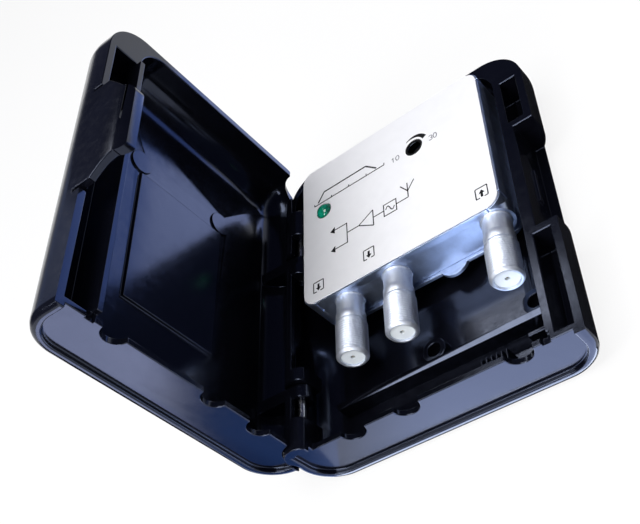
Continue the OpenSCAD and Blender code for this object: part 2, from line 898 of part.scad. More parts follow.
// Green lamp: a flanged body with a domed top that stands through the label
module power_lamp() {
    dome_z = label_z + lamp_reach - lamp_r;
    color("#1f9d78")
    translate([lamp_c[0], lamp_c[1], 0]) {
        translate([0, 0, board_top]) cylinder(r = lamp_r + 0.4, h = 1);
        translate([0, 0, board_top]) cylinder(r = lamp_r, h = dome_z - board_top);
        translate([0, 0, dome_z]) sphere(lamp_r);
    }
}

// Square body of the gain control, with a round seat for the rotor
module gain_trimmer_body() {
    color("#2b4a8c")
    difference() {
        translate([gain_c[0] - trimmer_w / 2, gain_c[1] - trimmer_w / 2, board_top])
            cube([trimmer_w, trimmer_w, trimmer_h]);
        translate([gain_c[0], gain_c[1], rotor_z - fit_gap])
            cylinder(r = rotor_r + fit_gap, h = trimmer_h);
    }
}

// Slotted rotor of the gain control
module gain_trimmer_rotor() {
    color("#3a2f2c")
    translate([gain_c[0], gain_c[1], rotor_z])
        difference() {
            cylinder(r = rotor_r, h = rotor_h);
            translate([-rotor_r - 1, -slot_w / 2, rotor_h - slot_d])
                cube([2 * rotor_r + 2, slot_w, slot_d + 1]);
        }
}

// Place on the board, as shares of its width and length
function on_board(fx, fy) = [board_x0 + fx * board_w, board_y0 + fy * board_l];

// Place between the shield and the board's latch side, as a share of that width
function in_stage(fx, fy) = [stage_x + fx * (board_x1 - stage_x), board_y0 + fy * board_l];

// Box that stands on the board, given by its middle
module board_box(x, y, w, l, h) {
    translate([x - w / 2, y - l / 2, board_top]) cube([w, l, h]);
}

// Amplifier chip with a row of legs along each side
module amplifier_chip() {
    c = in_stage(0.3, 0.32);
    color("#26262b") {
        board_box(c[0], c[1], 5, 4, 1.6);
        for (i = [-1.5 : 1 : 1.5], side = [-1, 1])
            board_box(c[0] + i * 1.27, c[1] + side * 2.5, 0.45, 1.1, 0.5);
    }
}

// Tinned can over the input filter
module filter_can() {
    c = in_stage(0.713, 0.38);
    w = 0.2 * board_w;
    l = 0.36 * board_l;
    t = 0.4;
    color("#c6cad2")
    difference() {
        board_box(c[0], c[1], w, l, part_h);
        translate([0, 0, -t]) board_box(c[0], c[1], w - 2 * t, l - 2 * t, part_h);
    }
}

// Upright sheet between the output side and the input side
module stage_shield() {
    shield_t = 0.5;
    c = [stage_x, on_board(0, 0.5)[1]];
    color("#c6cad2") board_box(c[0], c[1], shield_t, 0.76 * board_l, part_h);
}

// Two-hole ferrite core that splits the signal between the outputs
module splitter_core() {
    c = [(port_x[0] + port_x[1]) / 2, on_board(0, 0.22)[1]];
    color("#3b3b40")
    difference() {
        board_box(c[0], c[1], 7, 6, part_h);
        for (side = [-1, 1])
            translate([c[0] + side * 1.7, c[1] + 4, board_top + part_h / 2])
                rotate([90, 0, 0])
                    cylinder(r = 0.9, h = 8);
    }
}

// Drum choke that feeds supply current in from the first output
module supply_choke() {
    c = on_board(0.087, 0.28);
    color("#4a3a30")
    translate([c[0], c[1], board_top]) {
        cylinder(r = 3, h = 0.8);
        cylinder(r = 2.2, h = part_h);
        translate([0, 0, part_h - 0.8]) cylinder(r = 3, h = 0.8);
    }
}

// Round smoothing capacitor on a square foot
module smoothing_capacitor() {
    c = on_board(0.324, 0.72);
    color("#8f949c") {
        board_box(c[0], c[1], 6.2, 6.2, 0.8);
        translate([c[0], c[1], board_top]) cylinder(r = 3, h = part_h);
    }
}

// Voltage regulator with its tab and three legs
module voltage_regulator() {
    c = on_board(0.2, 0.74);
    color("#26262b") {
        board_box(c[0], c[1], 4.5, 2.6, 1.5);
        board_box(c[0], c[1] + 1.6, 1.8, 0.8, 0.5);
        for (i = [-1 : 1])
            board_box(c[0] + i * 1.5, c[1] - 1.6, 0.5, 0.8, 0.5);
    }
}

// Row of chip parts on the board, each as wide as the named chip size
module chip_row(c, count, h) {
    for (i = [0 : count - 1])
        board_box(c[0] + 2 * i * chip_w, c[1], chip_w, chip_l, h);
}

// Chip capacitors by the gain control and by the splitter
module chip_capacitors() {
    color("#b08d62") {
        chip_row(in_stage(0.13, 0.47), 3, 0.8 * chip_w);
        chip_row(on_board(0.3, 0.48), 3, 0.8 * chip_w);
    }
}

// Chip resistors by the amplifier chip and by the splitter
module chip_resistors() {
    color("#1e1e22") {
        chip_row(in_stage(0.13, 0.21), 2, 0.5 * chip_w);
        chip_row(on_board(0.3, 0.4), 3, 0.5 * chip_w);
    }
}

base_tray();
lid();
hinge_pin_near();
hinge_pin_far();
module_screws();
amp_housing();
back_plate();
front_label();
circuit_board();
supply_output_body();
second_output_body();
aerial_input_body();
supply_output_insulator();
second_output_insulator();
aerial_input_insulator();
supply_output_contact();
second_output_contact();
aerial_input_contact();
power_lamp();
gain_trimmer_body();
gain_trimmer_rotor();
amplifier_chip();
filter_can();
stage_shield();
splitter_core();
supply_choke();
smoothing_capacitor();
voltage_regulator();
chip_capacitors();
chip_resistors();
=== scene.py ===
"""Aerial amplifier in a hinged weather case: looks and stage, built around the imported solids."""

import json
import math

import bmesh
import bpy
import numpy as np
from mathutils import Matrix, Vector


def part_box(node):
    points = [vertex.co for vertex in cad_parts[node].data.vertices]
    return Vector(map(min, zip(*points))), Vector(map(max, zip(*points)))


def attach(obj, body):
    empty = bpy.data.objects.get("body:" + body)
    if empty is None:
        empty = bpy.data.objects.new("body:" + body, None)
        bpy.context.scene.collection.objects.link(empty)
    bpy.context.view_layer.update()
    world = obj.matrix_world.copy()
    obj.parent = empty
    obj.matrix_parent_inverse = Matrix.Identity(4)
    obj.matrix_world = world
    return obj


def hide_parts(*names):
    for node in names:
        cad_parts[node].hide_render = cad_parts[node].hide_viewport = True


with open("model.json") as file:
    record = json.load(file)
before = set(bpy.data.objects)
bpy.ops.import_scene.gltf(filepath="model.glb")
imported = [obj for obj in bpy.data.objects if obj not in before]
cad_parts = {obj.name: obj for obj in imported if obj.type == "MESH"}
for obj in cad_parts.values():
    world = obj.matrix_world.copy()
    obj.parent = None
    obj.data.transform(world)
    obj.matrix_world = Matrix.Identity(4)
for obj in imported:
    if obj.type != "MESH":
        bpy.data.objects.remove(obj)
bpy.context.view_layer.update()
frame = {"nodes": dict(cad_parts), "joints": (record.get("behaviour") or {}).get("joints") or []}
MM = 0.001
MERGE = 2e-6  # corners closer than this become one
FLAT = math.radians(0.4)  # faces that bend less than this are joined
TOUCH = 0.02 * MM  # within this distance a corner counts as being at a given place
ON_PLANE = 0.05 * MM  # within this distance an edge counts as lying on a plane
ROUND_FROM = math.radians(34)  # smallest bend between two faces that is rounded
RUN_ON = math.radians(35)  # largest turn between two edges that count as one line
WIDEST = 8  # widest rounding of a piece, in times its usual radius
PORTS = ("supply_output", "second_output", "aerial_input")

bl_info = {
    "name": "Aerial Amplifier Case",
    "version": (1, 0, 0),
    "blender": (4, 5, 0),
    "location": "View3D > Sidebar > Amplifier",
    "description": "Finishes, prints, threads and a studio stage for an aerial amplifier in a hinged case",
    "category": "Object",
}


# Properties

class CaseLooks(bpy.types.PropertyGroup):
    """Black moulded case."""

    edge: bpy.props.FloatProperty(
        name="Edge rounding", description="Radius of the moulded edges", default=0.32 * MM,
        min=0.05 * MM, max=0.6 * MM, precision=5, unit="LENGTH")
    border: bpy.props.FloatProperty(
        name="Border rounding", description="Radius of the outer edge of the end faces", default=2.0 * MM,
        min=0.3 * MM, max=2.5 * MM, precision=5, unit="LENGTH")
    step: bpy.props.FloatProperty(
        name="Step rounding", description="Radius of the step inside that border", default=0.5 * MM,
        min=0.1 * MM, max=0.8 * MM, precision=5, unit="LENGTH")
    sunk: bpy.props.FloatProperty(
        name="Step depth", description="Depth of the step in the solid", default=0.8 * MM,
        min=0.5 * MM, max=1.2 * MM, precision=5, unit="LENGTH")
    deeper: bpy.props.FloatProperty(
        name="Step deepening", description="How much deeper the step is drawn", default=0.6 * MM,
        min=0, max=1.0 * MM, precision=5, unit="LENGTH")
    inset: bpy.props.FloatProperty(
        name="Border widening", description="How much wider the border is drawn", default=0.7 * MM,
        min=0, max=1.5 * MM, precision=5, unit="LENGTH")
    rib_from: bpy.props.FloatProperty(
        name="Rib distance", description="From the near end to the cross rib", default=17.3 * MM,
        min=15 * MM, max=20 * MM, precision=5, unit="LENGTH")
    rib_top: bpy.props.FloatProperty(
        name="Rib height", description="Height of the cross rib's top", default=8.5 * MM,
        min=6 * MM, max=8.5 * MM, precision=5, unit="LENGTH")
    rib_fall: bpy.props.FloatProperty(
        name="Rib slope", description="How far the cross rib's top falls to the near side", default=0.9 * MM,
        min=0, max=1.2 * MM, precision=5, unit="LENGTH")
    lift: bpy.props.FloatProperty(
        name="Lift", description="How far the tray's back is held over the floor", default=0.016 * MM,
        min=0, max=0.1 * MM, precision=6, unit="LENGTH")
    plastic: bpy.props.FloatVectorProperty(
        name="Plastic", description="Body colour of the black plastic", default=(0.0022, 0.0024, 0.0042),
        size=3, min=0, max=1, subtype="COLOR")
    shine: bpy.props.FloatProperty(
        name="Shine", description="Refractive index of the polished skin", default=1.52, min=1.3, max=2.5)


class ModuleLooks(bpy.types.PropertyGroup):
    """Metal module and its printed front."""

    edge: bpy.props.FloatProperty(
        name="Edge rounding", description="Radius of the cast edges", default=0.28 * MM,
        min=0.05 * MM, max=0.6 * MM, precision=5, unit="LENGTH")
    metal: bpy.props.FloatVectorProperty(
        name="Metal", description="Colour of the cast housing", default=(0.58, 0.68, 0.90),
        size=3, min=0, max=1, subtype="COLOR")
    front: bpy.props.FloatVectorProperty(
        name="Front plate", description="Colour of the white front plate", default=(0.86, 0.86, 0.88),
        size=3, min=0, max=1, subtype="COLOR")
    ink: bpy.props.FloatVectorProperty(
        name="Ink", description="Colour of the dark print", default=(0.006, 0.006, 0.007),
        size=3, min=0, max=1, subtype="COLOR")
    pale_ink: bpy.props.FloatVectorProperty(
        name="Pale ink", description="Colour of the grey print", default=(0.2, 0.2, 0.22),
        size=3, min=0, max=1, subtype="COLOR")
    ink_height: bpy.props.FloatProperty(
        name="Ink height", description="Thickness of the print on the plate", default=0.03 * MM,
        min=0.01 * MM, max=0.1 * MM, precision=6, unit="LENGTH")
    lamp: bpy.props.FloatVectorProperty(
        name="Lamp", description="Colour of the lamp's lens", default=(0.004, 0.17, 0.10),
        size=3, min=0, max=1, subtype="COLOR")


class PortLooks(bpy.types.PropertyGroup):
    """Threaded coaxial ports."""

    pitch: bpy.props.FloatProperty(
        name="Thread pitch", description="Pitch of the port thread", default=0.79375 * MM,
        min=0.5 * MM, max=1.5 * MM, precision=6, unit="LENGTH")
    depth: bpy.props.FloatProperty(
        name="Thread depth", description="Depth of the port thread", default=0.36 * MM,
        min=0.1 * MM, max=0.6 * MM, precision=6, unit="LENGTH")
    neck: bpy.props.FloatProperty(
        name="Neck relief", description="Depth of the turned neck next to the module", default=0.3 * MM,
        min=0, max=0.6 * MM, precision=6, unit="LENGTH")
    plating: bpy.props.FloatVectorProperty(
        name="Plating", description="Colour of the bright plating", default=(0.82, 0.87, 1.0),
        size=3, min=0, max=1, subtype="COLOR")


class StageLooks(bpy.types.PropertyGroup):
    """Floor, lamps and camera."""

    floor: bpy.props.FloatVectorProperty(
        name="Floor", description="Colour of the floor", default=(0.93, 0.93, 0.94),
        size=3, min=0, max=1, subtype="COLOR")
    glow: bpy.props.FloatProperty(
        name="Floor glow", description="Share of the floor that glows white for the camera", default=0.88,
        min=0, max=1)
    walls: bpy.props.FloatVectorProperty(
        name="Walls", description="Colour of the dark room round the set", default=(0.03, 0.035, 0.07),
        size=3, min=0, max=1, subtype="COLOR")
    cool: bpy.props.FloatVectorProperty(
        name="Cool card", description="Colour of the plain cool cards", default=(0.5, 0.62, 1.0),
        size=3, min=0, max=1, subtype="COLOR")
    lens: bpy.props.FloatProperty(
        name="Lens", description="Focal length on a 36 mm wide sensor", default=55.698, min=20, max=200)


# Surfaces from arrays

def mesh_object(name, verts, faces, body):
    """Makes a mesh object from a vertex array and a list of face arrays, and rides it on a body."""
    mesh = bpy.data.meshes.new(name)
    mesh.from_pydata(verts.tolist(), [], [f for block in faces for f in block.tolist()])
    mesh.validate()
    mesh.update()
    obj = bpy.data.objects.new(name, mesh)
    bpy.context.scene.collection.objects.link(obj)
    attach(obj, body)
    return obj


def sheet_object(name, grid):
    """Open sheet from a grid of points, with a quad between each four neighbours."""
    rows, cols = grid.shape[:2]
    i, j = np.meshgrid(np.arange(rows - 1), np.arange(cols - 1), indexing="ij")
    near, far = i * cols + j, (i + 1) * cols + j
    quads = np.stack([near, far, far + 1, near + 1], -1).reshape(-1, 4)
    mesh = bpy.data.meshes.new(name)
    mesh.from_pydata(grid.reshape(-1, 3).tolist(), [], quads.tolist())
    obj = bpy.data.objects.new(name, mesh)
    bpy.context.scene.collection.objects.link(obj)
    return obj


def centre(node):
    """Middle of a solid's box."""
    return [(a + b) / 2 for a, b in zip(*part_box(node))]


def ring_faces(rows, cols, wrap_rows):
    """Quads of a grid whose columns close on themselves: corner (i, j) is vertex i * cols + j."""
    i, j = np.meshgrid(np.arange(rows if wrap_rows else rows - 1), np.arange(cols), indexing="ij")
    k, l = (i + 1) % rows, (j + 1) % cols
    return np.stack([i * cols + j, i * cols + l, k * cols + l, k * cols + j], -1).reshape(-1, 4)


def smooth_by_angle(mesh, degrees):
    """Smooth shading, kept sharp where two faces meet at more than the angle."""
    mesh.polygons.foreach_set("use_smooth", np.ones(len(mesh.polygons), bool))
    mesh.set_sharp_from_angle(angle=math.radians(degrees))


def softened(node, name, radius, body, segments=2, wide=None, shape=None):
    """Copy of a solid with its doubles merged, its flat faces joined, its shape refined where that is given,
    and its sharp edges rounded. An edge's rounding is the radius, or what wide gives for that edge."""
    bm = bmesh.new()
    bm.from_mesh(frame["nodes"][node].data)
    bmesh.ops.remove_doubles(bm, verts=bm.verts, dist=MERGE)
    bmesh.ops.dissolve_limit(bm, angle_limit=FLAT, verts=bm.verts, edges=bm.edges)
    if shape:
        shape(bm)
    weight = bm.edges.layers.float.new("bevel_weight_edge")
    most = WIDEST * radius
    for edge in bm.edges:
        if abs(edge.calc_face_angle_signed(0.0)) > ROUND_FROM:
            edge[weight] = (wide and wide(edge) or radius) / most
    numbers = chains(bm, weight)
    mesh = bpy.data.meshes.new(name)
    bm.to_mesh(mesh)
    bm.free()
    obj = bpy.data.objects.new(name, mesh)
    bpy.context.scene.collection.objects.link(obj)
    smooth_by_angle(mesh, 30)
    bevel = obj.modifiers.new("edges", "BEVEL")
    bevel.width = most
    bevel.segments = segments
    bevel.limit_method = "WEIGHT"
    bevel.use_clamp_overlap = False
    bevel.harden_normals = True
    unfold(obj, most, radius, numbers)
    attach(obj, body)
    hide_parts(node)
    return obj


def chains(bm, weight):
    """Numbers the edges. Rounded edges that run on into each other, both convex or both hollow, share a
    number."""
    bm.edges.index_update()
    number = list(range(len(bm.edges)))

    def root(k):
        while number[k] != k:
            k = number[k]
        return k
    for v in bm.verts:
        ring = [edge for edge in v.link_edges if edge[weight] > 0]
        for k, one in enumerate(ring):
            for two in ring[k + 1:]:
                turn = (one.other_vert(v).co - v.co).angle(v.co - two.other_vert(v).co, math.pi)
                if turn < RUN_ON and one.is_convex == two.is_convex:
                    number[root(two.index)] = root(one.index)
    return np.array([root(k) for k in number])


def unfold(obj, most, radius, numbers, rounds=6, reach=1.6, slack=0.05 * MM):
    """Halves the rounding of the chains of edges that lie near a fold, and repeats. A fold is a triangle of the
    rounded shape that faces against its shading normals. Near is within reach times the edge's own rounding,
    and a little slack. Chains with a wider rounding than the radius keep it."""
    mesh = obj.data
    shares = np.empty(len(mesh.edges), np.float32)
    ends = np.empty(len(mesh.edges) * 2, np.int32)
    spots = np.empty(len(mesh.vertices) * 3, np.float32)
    mesh.attributes["bevel_weight_edge"].data.foreach_get("value", shares)
    mesh.edges.foreach_get("vertices", ends)
    mesh.vertices.foreach_get("co", spots)
    ends = spots.reshape(-1, 3)[ends.reshape(-1, 2)]
    start, run = ends[:, None, 0], ends[:, None, 1] - ends[:, None, 0]
    for _ in range(rounds):
        shape = obj.evaluated_get(bpy.context.evaluated_depsgraph_get()).data
        shape.calc_loop_triangles()
        count = len(shape.loop_triangles)
        corners, loops = np.empty((2, count * 3), np.int32)
        facing = np.empty(count * 3, np.float32)
        shading = np.empty(len(shape.loops) * 3, np.float32)
        points = np.empty(len(shape.vertices) * 3, np.float32)
        shape.loop_triangles.foreach_get("vertices", corners)
        shape.loop_triangles.foreach_get("loops", loops)
        shape.loop_triangles.foreach_get("normal", facing)
        shape.corner_normals.foreach_get("vector", shading)
        shape.vertices.foreach_get("co", points)
        shading = shading.reshape(-1, 3)[loops.reshape(-1, 3)].sum(1)
        folded = np.sum(facing.reshape(-1, 3) * shading, 1) < 0
        spots = points.reshape(-1, 3)[np.unique(corners.reshape(-1, 3)[folded])]
        if not len(spots):
            break
        along = np.sum((spots - start) * run, 2) / np.maximum(np.sum(run * run, 2), 1e-18)
        away = np.linalg.norm(start + np.clip(along, 0, 1)[..., None] * run - spots, axis=2).min(1)
        near = away < reach * most * shares + slack
        narrow = shares < 1.01 * radius / most
        shares[np.isin(numbers, numbers[near & narrow])] *= 0.5
        mesh.attributes["bevel_weight_edge"].data.foreach_set("value", shares)
        mesh.update()


# Materials

class Finish:
    """Small helper that adds nodes to one material and links them."""

    def __init__(self, name):
        self.material = bpy.data.materials.new(name)
        self.material.use_nodes = True
        self.tree = self.material.node_tree
        self.shader = self.tree.nodes["Principled BSDF"]
        self.place = self.add("ShaderNodeTexCoord").outputs["Object"]

    def add(self, kind, **sockets):
        """New node with some of its inputs set or linked, named with _ for a blank."""
        node = self.tree.nodes.new(kind)
        for key, value in sockets.items():
            self.put(node.inputs[key.replace("_", " ")], value)
        return node

    def put(self, socket, value):
        """Links another socket, or sets a plain value."""
        if isinstance(value, bpy.types.NodeSocket):
            self.tree.links.new(value, socket)
        else:
            socket.default_value = value

    def set(self, **sockets):
        """Sets or links inputs of the material's own shader."""
        for key, value in sockets.items():
            self.put(self.shader.inputs[key.replace("_", " ")], value)

    def noise(self, scale, detail=3.0, rough=0.5, stretch=None):
        """Noise on object coordinates, stretched along an axis where a finish has a grain."""
        place = self.place
        if stretch:
            mapping = self.add("ShaderNodeMapping", Vector=place, Scale=stretch)
            place = mapping.outputs["Vector"]
        return self.add("ShaderNodeTexNoise", Vector=place, Scale=scale, Detail=detail,
                        Roughness=rough).outputs["Fac"]

    def ramp(self, fac, low, high, start=0.35, end=0.65):
        """Colour between two colours, as a value goes from start to end."""
        node = self.add("ShaderNodeValToRGB", Fac=fac)
        for stop, place, colour in zip(node.color_ramp.elements, (start, end), (low, high)):
            stop.position = place
            stop.color = (*colour, 1)
        return node.outputs["Color"]

    def span(self, value, low, high, start=0.3, end=0.7):
        """Value carried from one range to another."""
        node = self.add("ShaderNodeMapRange", Value=value)
        for key, number in zip(("From Min", "From Max", "To Min", "To Max"), (start, end, low, high)):
            node.inputs[key].default_value = number
        return node.outputs["Result"]

    def hole_shade(self, tone, hole):
        """Tone with painted shade: black inside a round upright hole, by the distance from the hole's axis."""
        x, y, radius = hole
        flat = self.add("ShaderNodeMapping", Vector=self.place, Location=(-x, -y, 0), Scale=(1, 1, 0))
        away = self.add("ShaderNodeVectorMath")
        away.operation = "LENGTH"
        self.put(away.inputs[0], flat.outputs["Vector"])
        inside = self.span(away.outputs["Value"], 1.0, 0.0, radius, radius + 0.05 * MM)
        mix = self.add("ShaderNodeMixRGB", Fac=inside, Color1=tone, Color2=(0.003, 0.003, 0.003, 1))
        return mix.outputs["Color"]

    def bump(self, height, strength, distance, below=None):
        """Bump from a height, on top of another bump where one is given."""
        node = self.add("ShaderNodeBump", Height=height, Strength=strength, Distance=distance)
        if below is not None:
            self.put(node.inputs["Normal"], below)
        return node.outputs["Normal"]


def tint(colour, factor):
    """Colour made lighter or darker, held at full."""
    return tuple(min(1.0, c * factor) for c in colour)


def polished_plastic(name, colour, shine):
    """Polished black moulding: slow waves from the mould, fine peel, faint dust and rub marks."""
    f = Finish(name)
    waves = f.bump(f.noise(55, 2.0), 0.08, 0.0012)
    peel = f.bump(f.noise(2600, 2.0), 0.03, 0.0002, waves)
    f.set(Base_Color=f.ramp(f.noise(38, 4.0), tint(colour, 0.7), tint(colour, 1.5)),
          Roughness=f.span(f.noise(420, 5.0, 0.65), 0.1, 0.2), Normal=peel)
    f.set(IOR=shine, Specular_Tint=(0.6, 0.7, 1.0, 1))
    return f.material


def cast_metal(name, colour, low, high, grain=None, hole=None, skin=0.09):
    """Cast or turned metal: mottled tone, uneven roughness, a fine skin, and painted shade in a hole if one is
    given.
    """
    f = Finish(name)
    tone = f.ramp(f.noise(160, 5.0, 0.6, grain), tint(colour, 0.86), tint(colour, 1.06))
    f.set(Base_Color=f.hole_shade(tone, hole) if hole else tone,
          Roughness=f.span(f.noise(500, 4.0, 0.6, grain), low, high),
          Normal=f.bump(f.noise(1500, 4.0, 0.6, grain), skin, 0.0003))
    f.set(Metallic=1.0)
    return f.material


def flat_ink(name, colour):
    """Screen printed ink: dull, with a slight unevenness where it has taken."""
    f = Finish(name)
    f.set(Base_Color=f.ramp(f.noise(1200, 3.0), tint(colour, 0.8), tint(colour, 1.3)),
          Roughness=f.span(f.noise(2000, 2.0), 0.6, 0.75))
    f.set(Specular_IOR_Level=0.15)
    return f.material


def dull_plastic(name, colour, rough=0.45, scale=900, mottle=0.08, hole=None):
    """Plain moulded or painted surface with a faint mottle and skin, and painted shade in a hole if one is given."""
    f = Finish(name)
    tone = f.ramp(f.noise(240, 4.0), tint(colour, 1 - mottle), tint(colour, 1 + mottle))
    f.set(Base_Color=f.hole_shade(tone, hole) if hole else tone,
          Roughness=f.span(f.noise(scale, 3.0), rough - 0.06, rough + 0.06),
          Normal=f.bump(f.noise(2 * scale, 3.0), 0.05, 0.0002))
    return f.material


def lamp_lens(name, colour):
    """Tinted lens: clear skin over a mottled green body that lets light in."""
    f = Finish(name)
    f.set(Base_Color=f.ramp(f.noise(300, 2.0), tint(colour, 0.6), tint(colour, 1.8)),
          Roughness=f.span(f.noise(800, 2.0), 0.06, 0.14))
    f.set(Coat_Weight=0.7, Coat_Roughness=0.04, Subsurface_Weight=0.3, Subsurface_Scale=0.001)
    return f.material


def board_lacquer(name, colour):
    """Green board lacquer with paler tracks that show through as fine bands."""
    f = Finish(name)
    wave = f.add("ShaderNodeTexWave", Vector=f.place, Scale=90.0, Distortion=6.0, Detail=2.0)
    f.set(Base_Color=f.ramp(wave.outputs["Fac"], colour, tint(colour, 1.9), 0.45, 0.55),
          Roughness=f.span(f.noise(700), 0.3, 0.42),
          Normal=f.bump(wave.outputs["Fac"], 0.1, 0.0002))
    return f.material


def dress(obj, material):
    """Gives an object one material."""
    obj.data.materials.clear()
    obj.data.materials.append(material)


def dress_node(node, material):
    """Gives a kept solid its material."""
    obj = frame["nodes"][node]
    obj.data.materials.clear()
    obj.data.materials.append(material)


def gain_hole():
    """Axis and radius of the hole above the gain rotor, where the finishes paint shade."""
    x, y, _ = centre("gain_trimmer_rotor")
    return x, y, 2.45 * MM


# Print on the front plate

def stroke(points, widths):
    """Flat band along a polyline: each point moves half a width to both sides of the mean direction."""
    p = np.asarray(points, float)
    w = np.broadcast_to(np.asarray(widths, float), len(p))[:, None] / 2
    d = np.gradient(p, axis=0)
    if np.allclose(p[0], p[-1]) and len(p) > 3:
        d[0] = d[-1] = p[1] - p[-2]
    n = np.stack([-d[:, 1], d[:, 0]], -1)
    n /= np.linalg.norm(n, axis=1, keepdims=True)
    return np.stack([p + n * w, p - n * w], 1)


def printed(name, bands, z0, z1, material):
    """Prints bands as one thin relief: each band is a grid of stations by four corners, capped at its ends."""
    verts, faces, base = [], [], 0
    for band in bands:
        n = len(band)
        left, right = band[:, 0], band[:, 1]
        low, high = np.full((n, 1), z0), np.full((n, 1), z1)
        grid = np.stack([np.hstack([left, low]), np.hstack([right, low]),
                         np.hstack([right, high]), np.hstack([left, high])], 1)
        verts.append(grid.reshape(-1, 3))
        faces.append(base + ring_faces(n, 4, False))
        faces.append(base + np.array([[3, 2, 1, 0]]))
        faces.append(base + (n - 1) * 4 + np.array([[0, 1, 2, 3]]))
        base += 4 * n
    obj = mesh_object(name, np.vstack(verts) * MM, faces, "base")
    bm = bmesh.new()
    bm.from_mesh(obj.data)
    bmesh.ops.recalc_face_normals(bm, faces=bm.faces)
    bm.to_mesh(obj.data)
    bm.free()
    dress(obj, material)


def arc(cx, cy, rx, ry, start, end, count=25):
    """Points on an ellipse from one angle to another, in degrees."""
    t = np.radians(np.linspace(start, end, count))
    return np.stack([cx + rx * np.cos(t), cy + ry * np.sin(t)], -1)


def digit(figure, x, y, h, w):
    """Strokes of a plain 0, 1 or 3 of height h with its lower left corner at x, y."""
    a = 0.3 * h
    if figure == "0":
        return [stroke(arc(x + a, y + h / 2, a, h / 2, 0, 360, 33), w)]
    if figure == "1":
        return [stroke([(x + a, y), (x + a, y + h)], w),
                stroke([(x + 0.05 * h, y + 0.72 * h), (x + a, y + h - w / 2)], w)]
    top = arc(x + a, y + 0.75 * h, a, h / 4, 150, -90, 17)
    low = arc(x + a, y + 0.25 * h, a, h / 4, 90, -150, 17)
    return [stroke(top, w), stroke(low, w)]


def arrow(x, y, length, turn, w, head):
    """Straight arrow from its tail, as a shaft and a tapered head."""
    c, s = math.cos(math.radians(turn)), math.sin(math.radians(turn))
    mid, end = length - head, length
    shaft = [(x, y), (x + c * mid, y + s * mid)]
    tip = [(x + c * mid, y + s * mid), (x + c * end, y + s * end)]
    return [stroke(shaft, w), stroke(tip, [1.5 * head, 0.02])]


def box_lines(x0, y0, x1, y1, w):
    """Four sides of a box outline."""
    e = w / 2
    return [stroke([(x0 - e, y0), (x1 + e, y0)], w), stroke([(x0 - e, y1), (x1 + e, y1)], w),
            stroke([(x0, y0), (x0, y1)], w), stroke([(x1, y0), (x1, y1)], w)]


# Operators

class AMP_OT_case(bpy.types.Operator):
    """Round the edges of the tray and the lid and give both the polished black finish"""

    bl_idname = "amp.case"
    bl_label = "Case"

    def execute(self, context):
        looks = context.scene.amp_case
        plastic = polished_plastic("polished_black", looks.plastic, looks.shine)
        hinge = next(j for j in frame["joints"] if j["name"] == "lid_hinge")
        turn = math.radians(-hinge["range_deg"][0])
        spot = Vector(hinge["pos_m"])
        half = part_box("base_tray")[1][0]
        for node, name, body, out, along in (
                ("base_tray", "tray_shell", "base", Vector((0, 0, 1)), Vector((1, 0, 0))),
                ("lid", "lid_shell", "lid", Vector((math.sin(turn), 0, -math.cos(turn))),
                 Vector((math.cos(turn), 0, math.sin(turn))))):
            shell = softened(node, name, looks.edge, body, 3, self.border(spot, out, along * half, looks),
                             lambda bm: self.sink(bm, spot, out, looks))
            dress(shell, plastic)
        return {"FINISHED"}

    def sink(self, bm, hinge, out, looks):
        """Makes the near end face's border bolder: the walls of its step, which are the small upright faces just
        behind the end plane, move inwards along their normals, and the face inside moves back. The cross rib's
        near top edge comes down, and the tray's back is held a hair over the floor. The straight sides of the
        border beside the hinge are cut in half, where its wider rounding ends."""
        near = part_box("base_tray")[0][1]
        side_least, side_rise = 3 * MM, 5 * MM
        steps = [face for face in bm.faces if abs(face.normal.y) < 0.1
                 and all(v.co.y - near < looks.sunk + TOUCH for v in face.verts)]
        inward = {}
        for face in steps:
            for v in face.verts:
                inward[v] = inward.get(v, Vector()) + face.normal
        for v, way in inward.items():
            v.co += looks.inset * way.normalized()
        for v in bm.verts:
            if abs(v.co.y - near - looks.sunk) < TOUCH:
                v.co.y += looks.deeper
            if abs(v.co.y - near - looks.rib_from) < TOUCH and abs(v.co.z - looks.rib_top) < TOUCH:
                v.co.z -= looks.rib_fall
            v.co.z = max(v.co.z, looks.lift)
        for edge in list(bm.edges):
            a, b = (v.co for v in edge.verts)
            on_end = max(a.y, b.y) - near < ON_PLANE
            upright = abs((a - b).normalized().dot(out)) > 0.999
            low = abs(self.rise((a + b) / 2, hinge, out)) < side_rise
            if on_end and upright and low and (a - b).length > side_least:
                bmesh.utils.edge_split(edge, edge.verts[0], 0.5)

    def rise(self, place, hinge, out):
        """Height of a place over the parting plane."""
        return (place - hinge).dot(out)

    def border(self, hinge, out, middle, looks):
        """Wider rounding for the border of a near end face: its outer edge, and the outer edge of its step. An
        edge counts where it lies on the end plane, isn't a cut in the parting plane through the hinge, and
        isn't close to the hinge."""
        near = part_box("base_tray")[0][1]
        hinge_reach, hinge_drop = 12 * MM, 2.5 * MM

        def wide(edge):
            a, b = (v.co for v in edge.verts)
            place = (a + b) / 2 - hinge
            off_end = max(a.y, b.y) - near > ON_PLANE
            parting = max(abs(self.rise(p, hinge, out)) for p in (a, b)) < ON_PLANE
            by_hinge = place.dot(middle.normalized()) < hinge_reach and place.dot(out) > -hinge_drop
            if off_end or parting or by_hinge:
                return None
            side = min(edge.link_faces, key=lambda face: abs(face.normal.y)).normal
            return looks.border if (place - middle).dot(side) > 0 else looks.step
        return wide


class AMP_OT_module(bpy.types.Operator):
    """Round the edges of the housing and its back plate and give them the cast finish"""

    bl_idname = "amp.module"
    bl_label = "Module"

    def execute(self, context):
        looks = context.scene.amp_module
        # The housing turns black inside the gain hole: painted shade down the hole.
        metal = cast_metal("cast_metal", looks.metal, 0.29, 0.39, hole=gain_hole(), skin=0.03)
        plate = cast_metal("rolled_plate", tint(looks.metal, 0.7), 0.34, 0.44, (1, 8, 8), skin=0.03)
        dress(softened("amp_housing", "housing_shell", looks.edge, "base"), metal)
        dress(softened("back_plate", "back_plate_rounded", 0.5 * looks.edge, "base"), plate)
        return {"FINISHED"}


